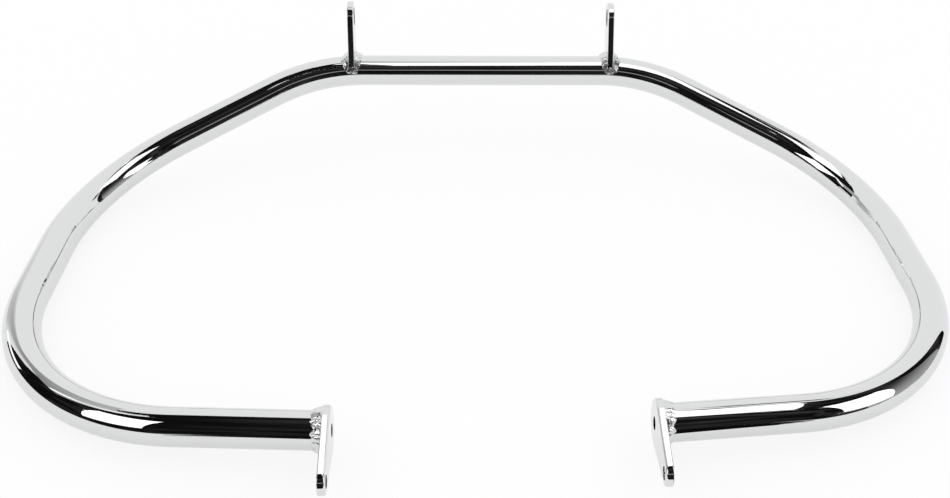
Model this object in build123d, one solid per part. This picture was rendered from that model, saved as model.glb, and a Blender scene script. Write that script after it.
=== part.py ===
from build123d import *

import os
from math import acos, cos, degrees, radians, sin

# Motorcycle crash bars: one bent tube with welded mounting tabs, lying on its two side runs.
# +Z is up from the table, +X points to the bar's right, and +Y runs from the open lower ends to
# the crossbar. The origin is on the table, under the middle of the whole bar. Millimetres.

# Tube
tube_diameter = 31.75
tube_wall = 3.05
bend_radius = 177.8

# Corners of the tube's centre line, as a tube bender is given them.
# Depths are measured from the crossbar's axis towards the open ends.
crossbar_length = 355.6
crossbar_height = 87.0
knee_width = 802.0
knee_depth = 117.5
shoulder_width = 833.0
shoulder_depth = 459.5
end_depth = 492.0
end_height = 29.0

# Tabs, cut from flat bar
tab_thickness = 6.35
tab_edge_round = 0.8

# Lower tabs, across the tube's ends. The rim is what stands out round the tube, and the inner edges
# are rounded more than the others.
lower_tab_gap = 254.0
lower_tab_rim = 4.3
lower_tab_tip_radius = 10.5
lower_tab_inner_round = 2.2
lower_bolt_offset = 54.5
lower_bolt_hole_diameter = 11.1
vent_hole_diameter = 11.1

# Upper tabs, on the crossbar. The reach runs from the tube's axis to the slot's middle.
upper_tab_spacing = 277.0
upper_tab_width = 31.5
upper_tab_reach = 57.5
upper_tab_lean = 20.0
upper_slot_width = 11.1
upper_slot_length = 19.0

# Weld beads. The upper one's height is on top of the tube, and its swell is on the tube's sides.
lower_weld_leg = 8.5
upper_weld_leg = 7.5
upper_weld_height = 5.0
upper_weld_swell = 1.1

tube_radius = tube_diameter / 2
lower_seat = Vector(lower_tab_gap / 2 + tab_thickness, -end_depth, end_height)


def centre_line():
    """Straight runs joined by tangent bends, from the left end to the right end.

    The side runs, between knee and shoulder, lie flat on the table. Each end runs on past the
    lower tab's outer face, so that it can be cut to lie flat against it.
    """
    shoulder = Vector(shoulder_width / 2, -shoulder_depth, tube_radius)
    last_run = (lower_seat - shoulder).normalized()
    right = [
        Vector(crossbar_length / 2, 0, crossbar_height),
        Vector(knee_width / 2, -knee_depth, tube_radius),
        shoulder,
        lower_seat + last_run * tube_radius,
    ]
    left = [Vector(-corner.X, corner.Y, corner.Z) for corner in reversed(right)]
    return FilletPolyline(*left, *right, radius=bend_radius)


def swept_round(path, radius):
    """A solid round bar along the path."""
    start = Plane(origin=path @ 0, z_dir=path % 0)
    return sweep(start * Circle(radius), path=path)


def between_lower_tabs():
    """The space between the lower tabs' outer faces, which the tube and its welds stay out of."""
    return Pos(0, lower_seat.Y, lower_seat.Z) * Box(2 * lower_seat.X, 4 * tube_diameter, 4 * tube_diameter)


def lower_tab():
    """The right lower tab: a teardrop plate across the tube's end, with a bolt hole near its tip.

    A second hole opens into the tube, to vent and drain it when it is plated.
    """
    face = Plane(origin=lower_seat, x_dir=(0, -1, 0), z_dir=(-1, 0, 0))
    tip = Pos(lower_bolt_offset, 0)
    rounds = Circle(tube_radius + lower_tab_rim) + tip * Circle(lower_tab_tip_radius)
    blank = extrude(face * make_hull(rounds.edges()), tab_thickness)
    blank = fillet(blank.faces().sort_by(Axis.X)[-1].edges(), tab_edge_round)
    blank = fillet(blank.faces().sort_by(Axis.X)[0].edges(), lower_tab_inner_round)
    holes = Circle(vent_hole_diameter / 2) + tip * Circle(lower_bolt_hole_diameter / 2)
    return blank - extrude(face * holes, tab_thickness)


def lower_weld(rod, tube):
    """Ring bead where the right end of the tube meets the lower tab's outer face."""
    joint = tube.faces().filter_by(Axis.X).sort_by(Axis.X)[-1].outer_wire()
    start = Plane(origin=joint @ 0, x_dir=(1, 0, 0), z_dir=joint % 0)
    bead = start * Ellipse(lower_weld_leg, lower_tab_rim - tab_edge_round)
    return sweep(bead, path=joint) - rod - between_lower_tabs()


def upper_tab_plane(path):
    """Middle plane of the right upper tab: its Y runs along the tab, from the tube's centre line."""
    lean = radians(upper_tab_lean)
    crossings = path.intersect(Plane.YZ.offset(upper_tab_spacing / 2)).vertices()
    return Plane(
        origin=crossings.sort_by(Axis.Y)[-1].center(),
        x_dir=(0, cos(lean), -sin(lean)),
        z_dir=(1, 0, 0),
    )


def upper_tab_blank(plane):
    """The right upper tab before it is slotted and coped: flat bar with a full round end."""
    outline = Rectangle(upper_tab_width, upper_tab_reach, align=(Align.CENTER, Align.MIN))
    outline += Pos(0, upper_tab_reach) * Circle(upper_tab_width / 2)
    blank = extrude(plane * outline, tab_thickness / 2, both=True)
    return fillet(blank.faces().filter_by(Axis.X).edges(), tab_edge_round)


def upper_tab(plane, rod):
    """The right upper tab, with its slot and with its root coped to the tube."""
    slot = Pos(0, upper_tab_reach) * Rot(0, 0, 90) * SlotOverall(upper_slot_length, upper_slot_width)
    return upper_tab_blank(plane) - extrude(plane * slot, tab_thickness, both=True) - rod


def upper_weld(plane, rod):
    """Bead round the root of the right upper tab: part of a ring a little wider than the tube.

    The ring is raised along the tab. So the bead is highest on top of the tube, and runs out into it
    past the tab's front and back edges. The ring is swept far enough to end inside the tube.
    """
    raised = upper_weld_height - upper_weld_swell
    ring_radius = tube_radius + upper_weld_swell
    middle = plane.origin + plane.y_dir * raised
    across = Plane(origin=middle, x_dir=plane.z_dir, z_dir=-plane.x_dir)
    half_length = tab_thickness / 2 + upper_weld_leg
    section = across * Pos(0, ring_radius - upper_weld_height) * Ellipse(half_length, upper_weld_height)
    run_out = degrees(acos((tube_radius**2 - ring_radius**2 - raised**2) / (2 * ring_radius * raised)))
    half_wrap = (run_out + 180) / 2
    axis = Axis(middle, plane.z_dir)
    ring = revolve(section.rotate(axis, -half_wrap), axis, 2 * half_wrap)
    return ring - (rod + upper_tab_blank(plane))


def both_sides(name, right):
    """The right piece and its mirror image on the left."""
    return {name.format("right"): right, name.format("left"): mirror(right, about=Plane.YZ)}


path = centre_line()
rod = swept_round(path, tube_radius)
bore = swept_round(path, tube_radius - tube_wall)
tube = rod - bore - between_lower_tabs()
upper_plane = upper_tab_plane(path)

pieces = {"guard_tube": tube}
pieces |= both_sides("lower_{}_tab", lower_tab())
pieces |= both_sides("lower_{}_weld", lower_weld(rod, tube))
pieces |= both_sides("upper_{}_tab", upper_tab(upper_plane, rod))
pieces |= both_sides("upper_{}_weld", upper_weld(upper_plane, rod))

# The whole bar is set down on the table, with its middle over the origin.
box = Compound(list(pieces.values())).bounding_box()
onto_table = Pos(-box.center().X, -box.center().Y, -box.min.Z)

os.makedirs("parts", exist_ok=True)
for node, piece in pieces.items():
    export_step(onto_table * piece, f"parts/{node}.step")
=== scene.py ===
"""Chromed motorcycle crash bars on a white studio floor.

The bent tube and the weld beads are surfaces worked out here on grids, in metres, in the frame of
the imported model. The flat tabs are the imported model's own, with a chrome finish.
"""

import bpy
import numpy as np
from mathutils import Matrix, Vector


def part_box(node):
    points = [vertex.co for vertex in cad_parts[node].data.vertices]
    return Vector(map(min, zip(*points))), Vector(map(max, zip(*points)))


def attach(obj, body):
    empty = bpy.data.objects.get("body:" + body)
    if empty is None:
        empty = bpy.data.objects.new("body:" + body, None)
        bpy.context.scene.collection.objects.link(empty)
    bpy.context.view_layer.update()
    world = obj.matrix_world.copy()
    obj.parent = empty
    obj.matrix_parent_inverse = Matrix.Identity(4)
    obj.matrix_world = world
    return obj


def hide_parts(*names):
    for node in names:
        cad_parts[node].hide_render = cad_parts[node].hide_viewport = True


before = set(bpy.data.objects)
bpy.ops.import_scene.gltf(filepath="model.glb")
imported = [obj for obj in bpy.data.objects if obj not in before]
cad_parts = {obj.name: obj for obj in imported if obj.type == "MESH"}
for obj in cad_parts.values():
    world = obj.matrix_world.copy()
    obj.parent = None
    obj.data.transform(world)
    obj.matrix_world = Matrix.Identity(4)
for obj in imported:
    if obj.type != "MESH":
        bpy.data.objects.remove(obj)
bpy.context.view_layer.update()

MM = 0.001
TAU = 2 * np.pi

# Tube, with its centre line as a tube bender is given it.
# Depths run from the crossbar's axis towards the open ends.
TUBE_RADIUS = 15.875 * MM
TUBE_WALL = 3.05 * MM
BEND_RADIUS = 177.8 * MM
CROSSBAR_HALF = 177.8 * MM
CROSSBAR_HEIGHT = 87.0 * MM
KNEE_HALF = 401.0 * MM
KNEE_DEPTH = 117.5 * MM
SHOULDER_HALF = 416.5 * MM
SHOULDER_DEPTH = 459.5 * MM
END_DEPTH = 492.0 * MM
END_HEIGHT = 29.0 * MM
POINTS_ROUND_TUBE = 96
BEND_STEP = np.radians(1.0)
RUN_STEP = 12.0 * MM

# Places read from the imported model.
CROSSBAR_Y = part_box("guard_tube")[1].y - TUBE_RADIUS
SEAT_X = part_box("lower_right_tab")[1].x
UPPER_TAB_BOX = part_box("upper_right_tab")
UPPER_TAB_X = (UPPER_TAB_BOX[0].x + UPPER_TAB_BOX[1].x) / 2
TAB_THICKNESS = UPPER_TAB_BOX[1].x - UPPER_TAB_BOX[0].x

# Upper tabs, where their welds go round them.
UPPER_TAB_WIDTH = 31.5 * MM
UPPER_TAB_LEAN = np.radians(20.0)

# Weld beads. A bead is sunk a little into what it joins, so that no gap shows at its toes.
LOWER_WELD_LEG = 8.5 * MM
LOWER_WELD_RISE = 3.2 * MM
UPPER_WELD_LEG = 7.5 * MM
UPPER_WELD_HEIGHT = 5.0 * MM
UPPER_WELD_SWELL = 1.1 * MM
WELD_SINK = 0.25 * MM
POINTS_ACROSS_BEAD = 22
POINTS_ALONG_BEAD = 420

# Ripples round a hand-laid bead, their depth as a share of the bead, the phase of their unevenness, and
# how full its section is: 2 is round, and 1 is flat.
LOWER_BEAD_RIPPLES = 15
LOWER_BEAD_DEPTH = 0.20
LOWER_BEAD_PHASE = 0.7
LOWER_BEAD_FULLNESS = 1.3
UPPER_BEAD_RIPPLES = 19
UPPER_BEAD_DEPTH = 0.18
UPPER_BEAD_PHASE = 2.1
UPPER_BEAD_FULLNESS = 1.2

CHROME_COLOUR = (0.731, 0.735, 0.739, 1.0)

# Camera, for a picture of 950 by 498 pixels.
PICTURE_WIDTH = 950
CAMERA_PLACE = Vector((-0.02697, -0.93557, 0.70716))
CAMERA_YAW = np.radians(5.834)
CAMERA_DIP = np.radians(35.562)
CAMERA_ROLL = np.radians(2.823)
CAMERA_FOCAL_PIXELS = 1226.3
CAMERA_AXIS_OFF_CENTRE_PIXELS = 85.5
SENSOR_WIDTH_MM = 36.0

# Studio. The room is dark but for its lights, and open towards a white backdrop.
# Pairs such as GLIMMER_BLOTCHES say where a smooth change starts and where it ends.
SET_MIDDLE = Vector((0, -0.05, 0.05))
ROOM_GLOW = 0.005
ROOM_GLIMMER = 0.05
GLIMMER_BLOTCHES = (0.42, 0.72)
GLIMMER_LEFT_SHARE = 0.4
GLIMMER_LEFT_TO_RIGHT = (-1.6, 0.6)
ROOM_HALF_WIDTH = 2.6
ROOM_HEIGHT = 2.4
ROOM_DEPTH = 3.0
BACKDROP_Y = 0.41
BACKDROP_CORNERS = ((-1.23, 0.0), (-1.33, 0.98), (-0.28, 1.44), (0.84, 1.59), (1.39, 0.0))
BARE_FLOOR_CORNERS = (
    (0.15, -0.30), (0.21, -0.47), (-0.38, -0.47), (-1.41, -2.90),
    (1.58, -2.90), (0.57, -0.81), (0.43, -0.51), (0.27, -0.32),
)
BARE_FLOOR_Z = 0.5 * MM
CURTAIN_X = -1.15
CURTAIN_FRONT = 0.33
CURTAIN_BACK = 1.35
CURTAIN_TOP = 0.85
# Painted shade on the side curtain: its level in the shaded band, where in depth the band comes in and
# goes out, and how much of it shows at the foot.
CURTAIN_PAINTED_SHADE = 0.42
CURTAIN_DIMMING = (0.38, 0.56)
CURTAIN_BRIGHTENING = (0.62, 1.25)
CURTAIN_FOOT_SHARE = 0.6
CURTAIN_FOOT_TO_TOP = (0.10, 0.75)

# The floor, and how much of it is white of itself, as the camera sees it and as the chrome mirrors it.
FLOOR_REACH = 12.0
FLOOR_COLOUR = (0.98, 0.98, 0.98, 1.0)
FLOOR_WHITE_SEEN = 0.8
FLOOR_WHITE_MIRRORED = 0.55


class Signal:
    """A socket in a node sheet. Arithmetic on it adds Math nodes to the sheet."""

    def __init__(self, sheet, socket):
        self.sheet = sheet
        self.socket = socket

    def _math(self, operation, first, second):
        return self.sheet.node("ShaderNodeMath", {"operation": operation}, {0: first, 1: second})

    def __add__(self, other):
        return self._math("ADD", self, other)

    def __radd__(self, other):
        return self._math("ADD", other, self)

    def __sub__(self, other):
        return self._math("SUBTRACT", self, other)

    def __rsub__(self, other):
        return self._math("SUBTRACT", other, self)

    def __mul__(self, other):
        return self._math("MULTIPLY", self, other)

    def __rmul__(self, other):
        return self._math("MULTIPLY", other, self)

    def largest(self, other):
        return self._math("MAXIMUM", self, other)


class NodeSheet:
    """The node tree of a material or of the world."""

    def __init__(self, owner):
        owner.use_nodes = True
        self.tree = owner.node_tree
        self.tree.nodes.clear()

    def node(self, kind, settings=None, sockets=None, output=0):
        """Adds a node, sets it up, fills or links its sockets and returns one of its outputs."""
        made = self.tree.nodes.new(kind)
        for name, value in (settings or {}).items():
            setattr(made, name, value)
        for name, value in (sockets or {}).items():
            if isinstance(value, Signal):
                self.tree.links.new(value.socket, made.inputs[name])
            else:
                made.inputs[name].default_value = value
        return Signal(self, made.outputs[output]) if made.outputs else None


def smooth_step(signal, low, high):
    """0 below low, 1 above high, and a smooth rise between them."""
    settings = {"interpolation_type": "SMOOTHSTEP"}
    return signal.sheet.node("ShaderNodeMapRange", settings, {0: signal, 1: low, 2: high})


def axis(place, name):
    """One coordinate of a place."""
    return place.sheet.node("ShaderNodeSeparateXYZ", None, {"Vector": place}, output=name)


def unit(vectors):
    """Vectors along the last axis, scaled to length 1."""
    return vectors / np.linalg.norm(vectors, axis=-1, keepdims=True)


def straight_run(start, end):
    """Evenly spaced points between two points, without them."""
    count = max(int(np.linalg.norm(end - start) / RUN_STEP), 1)
    share = np.linspace(0, 1, count + 2)[1:-1, None]
    return start + (end - start) * share


def centre_line():
    """Points, directions and lengths along the tube's centre line, from its left to its right end.

    Each corner is cut by an arc that touches both runs: the tangent length is the bend radius times
    the tangent of half the turn, and a point on the arc is the arc's centre plus the bend radius
    times a unit vector that turns evenly from one tangent point to the other.
    """
    right = np.array([
        [CROSSBAR_HALF, CROSSBAR_Y, CROSSBAR_HEIGHT],
        [KNEE_HALF, CROSSBAR_Y - KNEE_DEPTH, TUBE_RADIUS],
        [SHOULDER_HALF, CROSSBAR_Y - SHOULDER_DEPTH, TUBE_RADIUS],
        [SEAT_X, CROSSBAR_Y - END_DEPTH, END_HEIGHT],
    ])
    corners = np.vstack([right[::-1] * [-1, 1, 1], right])
    spans = [corners[:1]]
    for before, corner, after in zip(corners, corners[1:], corners[2:]):
        incoming, outgoing = unit(corner - before), unit(after - corner)
        half_turn = np.arccos(incoming @ outgoing) / 2
        inwards = unit(outgoing - incoming)
        middle = corner + inwards * BEND_RADIUS / np.cos(half_turn)
        turn = np.linspace(-half_turn, half_turn, int(np.ceil(2 * half_turn / BEND_STEP)) + 1)
        forwards = unit(incoming + outgoing)
        arc = middle + BEND_RADIUS * (np.sin(turn)[:, None] * forwards - np.cos(turn)[:, None] * inwards)
        spans += [straight_run(spans[-1][-1], arc[0]), arc]
    spans.append(straight_run(spans[-1][-1], corners[-1]))
    points = np.vstack(spans + [corners[-1:]])
    steps = np.linalg.norm(np.diff(points, axis=0), axis=1)
    length = np.concatenate([[0], np.cumsum(steps)])
    directions = unit(np.gradient(points, length, axis=0, edge_order=2))
    return points, directions, length


def round_section(directions, angles):
    """Unit vectors square to each direction, one for each angle, counted from the level one."""
    level = unit(np.cross(directions, [0, 0, 1]))
    upward = np.cross(level, directions)
    return np.cos(angles)[:, None] * level[..., None, :] + np.sin(angles)[:, None] * upward[..., None, :]


def closed_grid(name, points, along, around):
    """A mesh object on a grid of points that closes on itself both ways, with its own UV map.

    points has a row for each step along and a column for each step around. The UV map holds the
    distances along and around, in metres, which run on past the seams.
    """
    rows, columns = points.shape[:2]
    row, column = np.divmod(np.arange(rows * columns), columns)
    next_row, next_column = (row + 1) % rows, (column + 1) % columns
    corners = [(row, column), (row, next_column), (next_row, next_column), (next_row, column)]
    faces = np.stack([r * columns + c for r, c in corners], axis=1)
    mesh = bpy.data.meshes.new(name)
    mesh.from_pydata(points.reshape(-1, 3), [], faces)
    flat = np.stack([
        np.stack([along[row + dr], around[column + dc]], axis=1)
        for dr, dc in ((0, 0), (0, 1), (1, 1), (1, 0))
    ], axis=1)
    mesh.uv_layers.new(name="lengths").data.foreach_set("uv", flat.ravel())
    mesh.set_sharp_from_angle(angle=np.radians(40))
    mesh.validate()
    piece = bpy.data.objects.new(name, mesh)
    bpy.context.scene.collection.objects.link(piece)
    return piece


def bent_tube():
    """The tube: a circle carried along the centre line, outside and inside, cut flat at both ends.

    The grid runs along the outer wall from the left end to the right end and back along the bore,
    so the cut ends are two of its strips. A point of an end ring slides along the tube until it
    meets the lower tab's outer face.
    """
    points, directions, length = centre_line()
    angles = np.linspace(0, TAU, POINTS_ROUND_TUBE, endpoint=False)
    section = round_section(directions, angles)
    walls = []
    for radius in (TUBE_RADIUS, TUBE_RADIUS - TUBE_WALL):
        wall = points[:, None] + radius * section
        for end, seat in ((0, -SEAT_X), (-1, SEAT_X)):
            slide = (seat - wall[end, :, 0]) / directions[end, 0]
            wall[end] += slide[:, None] * directions[end]
        walls.append(wall)
    outer, bore = walls
    along = np.concatenate([length, length[-1] + TUBE_WALL + (length[-1] - length[::-1])])
    along = np.append(along, along[-1] + TUBE_WALL)
    around = np.linspace(0, TAU * TUBE_RADIUS, POINTS_ROUND_TUBE + 1)
    return closed_grid("bent_tube", np.vstack([outer, bore[::-1]]), along, around)


def ripples(turns, across, count, depth, phase):
    """Height of a hand-laid bead's ripples, about 1: overlapping scallops, uneven in size.

    The scallops are a rounded saw of the distance along, bent back towards the toes. A slow drift
    spaces them unevenly, and two waves make some lumps larger than others.
    """
    drift = 0.5 * np.sin(TAU * 3 * turns + phase) + 0.25 * np.sin(TAU * 7 * turns + 3 * phase)
    place = turns * count + 0.45 * np.sin(np.pi * across) + drift
    scallop = np.abs(np.sin(np.pi * place)) ** 0.8 - 0.6
    large_lumps = np.sin(TAU * 5 * turns + 2 * phase + 2 * across)
    small_lumps = np.sin(TAU * 11 * turns + 5 * phase)
    return 1 + depth * (scallop + 0.35 * large_lumps + 0.35 * small_lumps)


def bead_section(turns, count, depth, phase, fullness):
    """Two arrays on a grid: shares of a bead's two legs, from its toe on one to its toe on the other.

    The skin is a quarter of a superellipse from toe to toe, swollen by the ripples, and one more point
    closes the section at its root. The superellipse's power, its fullness, is 2 for a round bead and 1
    for a flat one.
    """
    across = np.linspace(0, 1, POINTS_ACROSS_BEAD)
    swell = ripples(turns[:, None], across[None, :], count, depth, phase)
    root = np.zeros((len(turns), 1))
    first = np.hstack([swell * np.cos(np.pi / 2 * across).clip(0) ** (2 / fullness), root])
    second = np.hstack([swell * np.sin(np.pi / 2 * across) ** (2 / fullness), root])
    return first, second


def weld_lengths(points):
    """Distances along and around a bead, from its mean section, with one more for each seam."""
    ring = np.linalg.norm(np.roll(points, -1, axis=0) - points, axis=2).mean(axis=1)
    girth = np.linalg.norm(np.roll(points, -1, axis=1) - points, axis=2).mean(axis=0)
    return [np.concatenate([[0], np.cumsum(steps)]) for steps in (ring, girth)]


def lower_bead(name, side, phase):
    """Ring bead where the tube's end meets a lower tab.

    A point lies on a cylinder about the tube's last run, the tube's radius plus its rise out, and
    slides along that run until its distance from the tab's face is the bead's leg there.
    """
    points, directions, _ = centre_line()
    end = -1 if side > 0 else 0
    run = directions[end]
    turns = np.linspace(0, 1, POINTS_ALONG_BEAD, endpoint=False)
    outwards = round_section(run[None], TAU * turns)[0]
    first, second = bead_section(turns, LOWER_BEAD_RIPPLES, LOWER_BEAD_DEPTH, phase, LOWER_BEAD_FULLNESS)
    leg, rise = LOWER_WELD_LEG * first - WELD_SINK, LOWER_WELD_RISE * second - WELD_SINK
    skin = points[end] + (TUBE_RADIUS + rise)[..., None] * outwards[:, None]
    slide = (side * (SEAT_X + leg) - skin[..., 0]) / run[0]
    skin = skin + slide[..., None] * run
    return closed_grid(name, skin if end == 0 else skin[::-1], *weld_lengths(skin))


def rounded_rectangle(turns, half_thick, half_wide):
    """Points round a rectangle, evenly spaced in turns, and the unit vectors that lead away from it.

    The path is a stadium's: its straight sides lie along the wide faces, and its ends turn evenly
    round the narrow ones, pressed flat against the rectangle.
    """
    end = np.pi * half_thick * 2
    perimeter = 4 * half_wide + 2 * end
    distance = turns * perimeter
    straight = 2 * half_wide
    corners = [0, straight, straight + end, 2 * straight + end, perimeter]
    angle = np.interp(distance, corners, [0, 0, np.pi, np.pi, TAU])
    wide = np.interp(distance, corners, [-half_wide, half_wide, half_wide, -half_wide, -half_wide])
    outwards = np.stack([np.cos(angle), np.sin(angle)], axis=1)
    thick = half_thick * np.clip(1.4 * np.cos(angle), -1, 1)
    return np.stack([thick, wide], axis=1), outwards


def upper_bead(name, side, phase):
    """Bead round the foot of an upper tab, where it sits on the crossbar.

    The bead's crest is a circle a little wider than the tube, raised along the tab. At an angle from
    the tab's middle line it stands raise * cos(angle) + sqrt(circle^2 - (raise * sin(angle))^2) - radius
    above the tube, and it meets the tube where that is 0. The path goes round the tab's outline, and a
    point of the bead lies its rise above the tube and its leg from the tab.
    """
    half_thick, half_wide = TAB_THICKNESS / 2, UPPER_TAB_WIDTH / 2
    turns = np.linspace(0, 1, POINTS_ALONG_BEAD, endpoint=False)
    outline, outwards = rounded_rectangle(turns, half_thick, half_wide)
    place = np.arcsin(outline[:, 1] / TUBE_RADIUS)
    raised, circle = UPPER_WELD_HEIGHT - UPPER_WELD_SWELL, TUBE_RADIUS + UPPER_WELD_SWELL
    crest = raised * np.cos(place) + np.sqrt(circle ** 2 - (raised * np.sin(place)) ** 2) - TUBE_RADIUS
    depth_share = 1 - crest / UPPER_WELD_HEIGHT
    half_length = (half_thick + UPPER_WELD_LEG) * np.sqrt(1 - depth_share ** 2)
    meeting = np.arccos((raised ** 2 + TUBE_RADIUS ** 2 - circle ** 2) / (2 * TUBE_RADIUS * raised))
    run_out = meeting - np.arcsin(half_wide / TUBE_RADIUS)
    first, second = bead_section(turns, UPPER_BEAD_RIPPLES, UPPER_BEAD_DEPTH, phase, UPPER_BEAD_FULLNESS)
    radius = TUBE_RADIUS + crest[:, None] * second - WELD_SINK
    sideways = outline[:, :1] + (half_length - half_thick)[:, None] * first * outwards[:, :1]
    angle = np.arcsin(np.clip(outline[:, 1:] / radius, -1, 1)) + run_out * first * outwards[:, 1:]
    lean = np.array([0, np.sin(UPPER_TAB_LEAN), np.cos(UPPER_TAB_LEAN)])
    wide = np.array([0, np.cos(UPPER_TAB_LEAN), -np.sin(UPPER_TAB_LEAN)])
    points, _, _ = centre_line()
    crossbar = points[points[:, 1] > CROSSBAR_Y - KNEE_DEPTH / 2]
    x = side * UPPER_TAB_X + sideways
    middle = np.stack([x] + [np.interp(x, crossbar[:, 0], crossbar[:, k]) for k in (1, 2)], axis=-1)
    skin = middle + (radius * np.cos(angle))[..., None] * lean + (radius * np.sin(angle))[..., None] * wide
    return closed_grid(name, skin, *weld_lengths(skin))


def chrome(name, roughness, marks):
    """Bright chrome plate: a mirror with a faint, uneven haze and fine marks in relief.

    marks is a function that gives the height of the marks and the depth, in metres, of a height of 1.
    """
    material = bpy.data.materials.new(name)
    sheet = NodeSheet(material)
    place = sheet.node("ShaderNodeTexCoord", output="Object")
    haze = sheet.node("ShaderNodeTexNoise", None, {"Vector": place, "Scale": 38.0, "Detail": 3.0})
    height, depth = marks(sheet, place)
    relief = {"Strength": 1.0, "Distance": depth, "Height": height}
    finish = {
        "Base Color": CHROME_COLOUR,
        "Metallic": 1.0,
        "Roughness": roughness * (0.5 + haze),
        "Normal": sheet.node("ShaderNodeBump", None, relief),
    }
    plate = sheet.node("ShaderNodeBsdfPrincipled", None, finish)
    sheet.node("ShaderNodeOutputMaterial", None, {"Surface": plate})
    return material


def drawn_lines(sheet, place):
    """Fine lines that run along the tube, from drawing and polishing it: noise stretched along it."""
    flat = sheet.node("ShaderNodeUVMap", {"uv_map": "lengths"})
    stretched = sheet.node("ShaderNodeMapping", None, {"Vector": flat, "Scale": (3.0, 1500.0, 1.0)})
    lines = sheet.node("ShaderNodeTexNoise", None, {"Vector": stretched, "Scale": 1.0, "Detail": 2.0})
    return smooth_step(lines, 0.62, 0.75), 0.008 * MM


def weld_skin(sheet, place):
    """The uneven skin of a bead under its plating."""
    lumps = sheet.node("ShaderNodeTexNoise", None, {"Vector": place, "Scale": 480.0, "Detail": 2.0})
    return lumps, 0.5 * MM


def ground_flat(sheet, place):
    """Slight waves that grinding and polishing leave on flat bar."""
    waves = sheet.node("ShaderNodeTexNoise", None, {"Vector": place, "Scale": 110.0, "Detail": 1.0})
    return waves, 0.05 * MM


def sawn_edge(sheet, place):
    """Closer waves, from sawing, on the bar that the upper tabs are cut from."""
    waves = sheet.node("ShaderNodeTexNoise", None, {"Vector": place, "Scale": 300.0, "Detail": 3.0})
    return waves, 0.05 * MM


tube_chrome = chrome("tube_chrome", 0.02, drawn_lines)
tab_chrome = {
    "lower": chrome("lower_tab_chrome", 0.03, ground_flat),
    "upper": chrome("upper_tab_chrome", 0.04, sawn_edge),
}
weld_chrome = {
    "lower": chrome("lower_weld_chrome", 0.05, weld_skin),
    "upper": chrome("upper_weld_chrome", 0.26, weld_skin),
}

tube = bent_tube()
tube.data.materials.append(tube_chrome)
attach(tube, "root")
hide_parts("guard_tube")

for side_name, side in (("right", 1), ("left", -1)):
    beads = {
        f"lower_{side_name}_weld": lower_bead(f"lower_{side_name}_bead", side, LOWER_BEAD_PHASE + side),
        f"upper_{side_name}_weld": upper_bead(f"upper_{side_name}_bead", side, UPPER_BEAD_PHASE + side),
    }
    for node, bead in beads.items():
        bead.data.materials.append(weld_chrome[node.partition("_")[0]])
        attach(bead, "root")
        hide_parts(node)
    for level in ("lower", "upper"):
        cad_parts[f"{level}_{side_name}_tab"].material_slots[0].material = tab_chrome[level]


def flat_panel(name, corners, material):
    """A flat sheet of the set: one face whose corners are given in order round its edge."""
    mesh = bpy.data.meshes.new(name)
    mesh.from_pydata([tuple(corner) for corner in corners], [], [tuple(range(len(corners)))])
    mesh.materials.append(material)
    sheet = bpy.data.objects.new(name, mesh)
    bpy.context.scene.collection.objects.link(sheet)
    return sheet


def show_in_chrome_only(panel):
    """Hides a panel from the camera, and keeps its light and shadow off the floor."""
    panel.visible_camera = False
    panel.visible_diffuse = False
    panel.visible_shadow = False


def glow(name, low, high=None, share=None):
    """A surface of one brightness, or of one that goes from low to high with a share.

    share is a function that makes the share from the place on the surface.
    """
    material = bpy.data.materials.new(name)
    sheet = NodeSheet(material)
    light = {"Strength": low}
    if share:
        place = sheet.node("ShaderNodeTexCoord", output="Object")
        # A colour mix takes its factor and its two colours in sockets 0, 6 and 7.
        shades = {0: share(place), 6: (low, low, low, 1), 7: (high, high, high, 1)}
        shade = sheet.node("ShaderNodeMix", {"data_type": "RGBA"}, shades, output=2)
        light = {"Color": shade, "Strength": 1.0}
    lamp = sheet.node("ShaderNodeEmission", None, light)
    sheet.node("ShaderNodeOutputMaterial", None, {"Surface": lamp})
    return material


def chrome_panel(name, place, across, along, low, high=None, taper=0.0):
    """A glowing panel with the given sides about its middle, which shows only in the chrome.

    It is a rectangle, or has one corner drawn in by the share taper. With two levels it goes from the
    low one at its foot to the high one at its top.
    """
    middle, across, along = Vector(place), across / 2, along / 2
    corners = [
        middle - across - along,
        middle + across - along,
        middle + across + along,
        middle - across * (1 - taper) + along,
    ]
    foot, *_, top = sorted(corner.z for corner in corners)

    def rise(place):
        return smooth_step(axis(place, "Z"), foot, top)

    material = glow(name, low) if high is None else glow(name, low, high, rise)
    show_in_chrome_only(flat_panel(name, corners, material))


def softbox(name, place, width, height, roll, low, high=None, taper=0.0):
    """A panel that faces the middle of the set, rolled about the line of its light."""
    facing = (SET_MIDDLE - Vector(place)).normalized()
    across = Vector((0, 0, 1)).cross(facing).normalized()
    along = facing.cross(across)
    turn = Matrix.Rotation(np.radians(roll), 3, facing)
    chrome_panel(name, place, turn @ across * width, turn @ along * height, low, high, taper)


def overhead_panel(name, place, width, depth, yaw, rise, low):
    """A panel over the object, turned by the angle yaw, with its far edge raised by the angle rise."""
    yaw, rise = np.radians(yaw), np.radians(rise)
    across = Vector((np.cos(yaw), np.sin(yaw), 0))
    along = Vector((-np.sin(yaw) * np.cos(rise), np.cos(yaw) * np.cos(rise), np.sin(rise)))
    chrome_panel(name, place, across * width, along * depth, low)


def upright_panel(name, place, width, height, yaw, low, high=None):
    """An upright panel beside the object, turned by the angle yaw from facing straight across."""
    yaw = np.radians(yaw)
    across = Vector((np.sin(yaw), np.cos(yaw), 0))
    chrome_panel(name, place, across * width, Vector((0, 0, height)), low, high)


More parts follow.
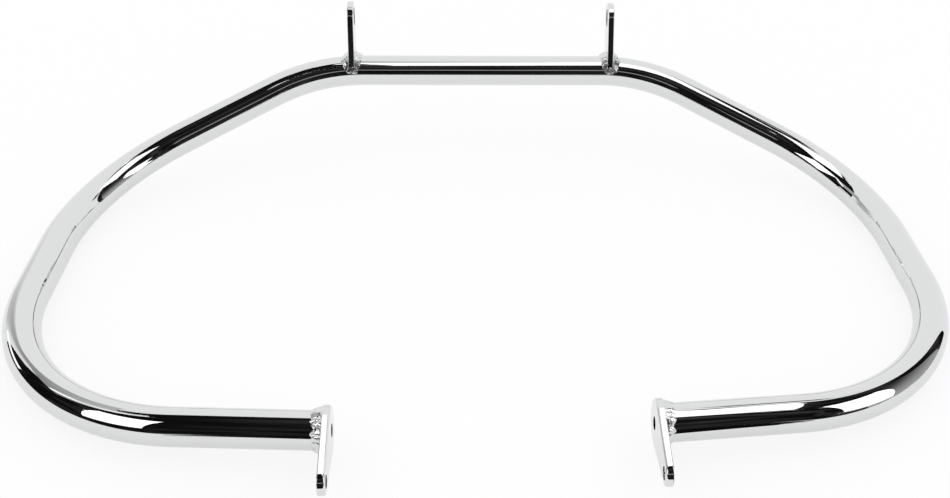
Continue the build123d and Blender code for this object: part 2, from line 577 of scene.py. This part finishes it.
def side_curtain_painted_shade():
    """The cloth left of the backdrop, with painted shade: white at its front edge, a painted shaded band
    behind that, white again far back, the shade weaker towards its foot.
    """
    def painted_shade_share(place):
        depth = axis(place, "Y")
        painted_shade_band = smooth_step(depth, *CURTAIN_DIMMING) * (1 - smooth_step(depth, *CURTAIN_BRIGHTENING))
        upwards = smooth_step(axis(place, "Z"), *CURTAIN_FOOT_TO_TOP)
        return painted_shade_band * (CURTAIN_FOOT_SHARE + (1 - CURTAIN_FOOT_SHARE) * upwards)

    corners = [
        (CURTAIN_X, CURTAIN_FRONT, 0),
        (CURTAIN_X, CURTAIN_BACK, 0),
        (CURTAIN_X, CURTAIN_BACK, CURTAIN_TOP),
        (CURTAIN_X, CURTAIN_FRONT, CURTAIN_TOP),
    ]
    # Painted shade: the cloth glows white, darkened to the shade level in a band behind its front edge.
    cloth = glow("side_curtain_painted_shade", 1.0, CURTAIN_PAINTED_SHADE, painted_shade_share)
    show_in_chrome_only(flat_panel("side_curtain_painted_shade", corners, cloth))


def bare_floor():
    """The bare, dark floor in front of the white one, whose edge comes closest to the right arm."""
    corners = [(x, y, BARE_FLOOR_Z) for x, y in BARE_FLOOR_CORNERS]
    show_in_chrome_only(flat_panel("bare_floor", corners, glow("bare_floor", ROOM_GLOW)))


def glimmer(place):
    """Share of faint light on the room's walls: soft blotches, which fade towards the left."""
    blotches = place.sheet.node("ShaderNodeTexNoise", None, {"Vector": place, "Scale": 1.7, "Detail": 3.0})
    towards_right = smooth_step(axis(place, "X"), *GLIMMER_LEFT_TO_RIGHT)
    sides = GLIMMER_LEFT_SHARE + (1 - GLIMMER_LEFT_SHARE) * towards_right
    return smooth_step(blotches, *GLIMMER_BLOTCHES) * sides


def dark_room():
    """The unlit room round the set, open behind the object, where the white backdrop stands."""
    low, high = 0, ROOM_HEIGHT
    wide, front, back = ROOM_HALF_WIDTH, -ROOM_DEPTH, BACKDROP_Y
    corners = [
        (-wide, front, low), (wide, front, low), (wide, front, high), (-wide, front, high),
        (-wide, back, low), (wide, back, low), (wide, back, high), (-wide, back, high),
    ]
    opening = [(x, back, z) for x, z in BACKDROP_CORNERS]
    faces = [
        (0, 1, 2, 3), (0, 3, 7, 4), (1, 5, 6, 2), (3, 2, 6, 7),
        (4, 8, 9, 7), (7, 9, 10), (7, 10, 11, 6), (6, 11, 12, 5),
    ]
    mesh = bpy.data.meshes.new("dark_room")
    mesh.from_pydata(corners + opening, [], faces)
    mesh.materials.append(glow("dark_room", ROOM_GLOW, ROOM_GLIMMER, glimmer))
    room = bpy.data.objects.new("dark_room", mesh)
    bpy.context.scene.collection.objects.link(room)
    show_in_chrome_only(room)


def white_floor():
    """A pale floor: partly lit, so that it keeps the soft shadow, and partly white of itself."""
    material = bpy.data.materials.new("white_floor")
    sheet = NodeSheet(material)
    seen = sheet.node("ShaderNodeLightPath", output="Is Camera Ray")
    glossy = sheet.node("ShaderNodeLightPath", output="Is Glossy Ray")
    through = sheet.node("ShaderNodeLightPath", output="Is Transmission Ray")
    share = FLOOR_WHITE_SEEN * seen + FLOOR_WHITE_MIRRORED * glossy.largest(through)
    lit = sheet.node("ShaderNodeBsdfDiffuse", None, {"Color": FLOOR_COLOUR})
    white = sheet.node("ShaderNodeEmission", None, {"Strength": 1.0})
    both = sheet.node("ShaderNodeMixShader", None, {0: share, 1: lit, 2: white})
    sheet.node("ShaderNodeOutputMaterial", None, {"Surface": both})
    corners = [(FLOOR_REACH * x, FLOOR_REACH * y, 0) for x, y in ((-1, -1), (1, -1), (1, 1), (-1, 1))]
    flat_panel("floor", corners, material)


def white_world():
    """Plain white light from all sides."""
    world = bpy.data.worlds.new("white_studio")
    bpy.context.scene.world = world
    sheet = NodeSheet(world)
    light = sheet.node("ShaderNodeBackground", None, {"Color": (1, 1, 1, 1), "Strength": 1.0})
    sheet.node("ShaderNodeOutputWorld", None, {"Surface": light})


def set_up_camera():
    """A camera that looks down along its yaw and dip and is rolled about that line."""
    lens = bpy.data.cameras.new("camera")
    lens.sensor_width = SENSOR_WIDTH_MM
    lens.lens = CAMERA_FOCAL_PIXELS * SENSOR_WIDTH_MM / PICTURE_WIDTH
    lens.shift_x = -CAMERA_AXIS_OFF_CENTRE_PIXELS / PICTURE_WIDTH
    camera = bpy.data.objects.new("camera", lens)
    bpy.context.scene.collection.objects.link(camera)
    ahead = Vector((
        np.sin(CAMERA_YAW) * np.cos(CAMERA_DIP),
        np.cos(CAMERA_YAW) * np.cos(CAMERA_DIP),
        -np.sin(CAMERA_DIP),
    ))
    roll = Matrix.Rotation(CAMERA_ROLL, 3, "Z")
    turn = ahead.to_track_quat("-Z", "Y").to_matrix() @ roll
    camera.matrix_world = Matrix.Translation(CAMERA_PLACE) @ turn.to_4x4()
    bpy.context.scene.camera = camera


white_floor()
white_world()
dark_room()
overhead_panel("overhead_softbox", (0.12, 0.12, 1.06), 0.67, 0.48, 17, 32, 1.6)
overhead_panel("overhead_flag", (0.67, 0.44, 1.06), 0.30, 0.12, 28, 8, ROOM_GLOW)
softbox("front_softbox", (0.34, -0.21, 0.43), 0.17, 0.28, 62, 1.6)
softbox("right_softbox", (0.73, -0.37, 0.34), 0.30, 0.48, 20, 2.0)
softbox("left_softbox", (-1.71, -1.02, 1.32), 1.09, 1.55, -18, 2.0, taper=0.3)
softbox("left_window", (-0.85, 0.20, 0.70), 0.53, 0.38, -4, 0.33, 0.56)
softbox("window_strip", (-0.84, 0.01, 0.75), 0.07, 0.50, 12, 1.5)
softbox("front_strip", (0.16, -2.68, 1.71), 2.46, 0.33, 1, 0.3)
# Painted light on the right wall: it glows, brightest at its foot and almost dark at its top.
upright_panel("right_wall_painted_light", (1.83, -0.42, 0.77), 1.56, 1.49, -6, 0.42, 0.03)
# Painted highlight: a low ledge that glows brighter than white.
upright_panel("left_ledge_painted_highlight", (-1.02, 0.20, 0.13), 0.33, 0.08, -11, 1.47)
upright_panel("high_strip", (-0.30, 0.39, 1.455), 0.12, 0.37, 90, 1.6)
side_curtain_painted_shade()
bare_floor()

set_up_camera()
bpy.context.scene.view_settings.view_transform = "Standard"
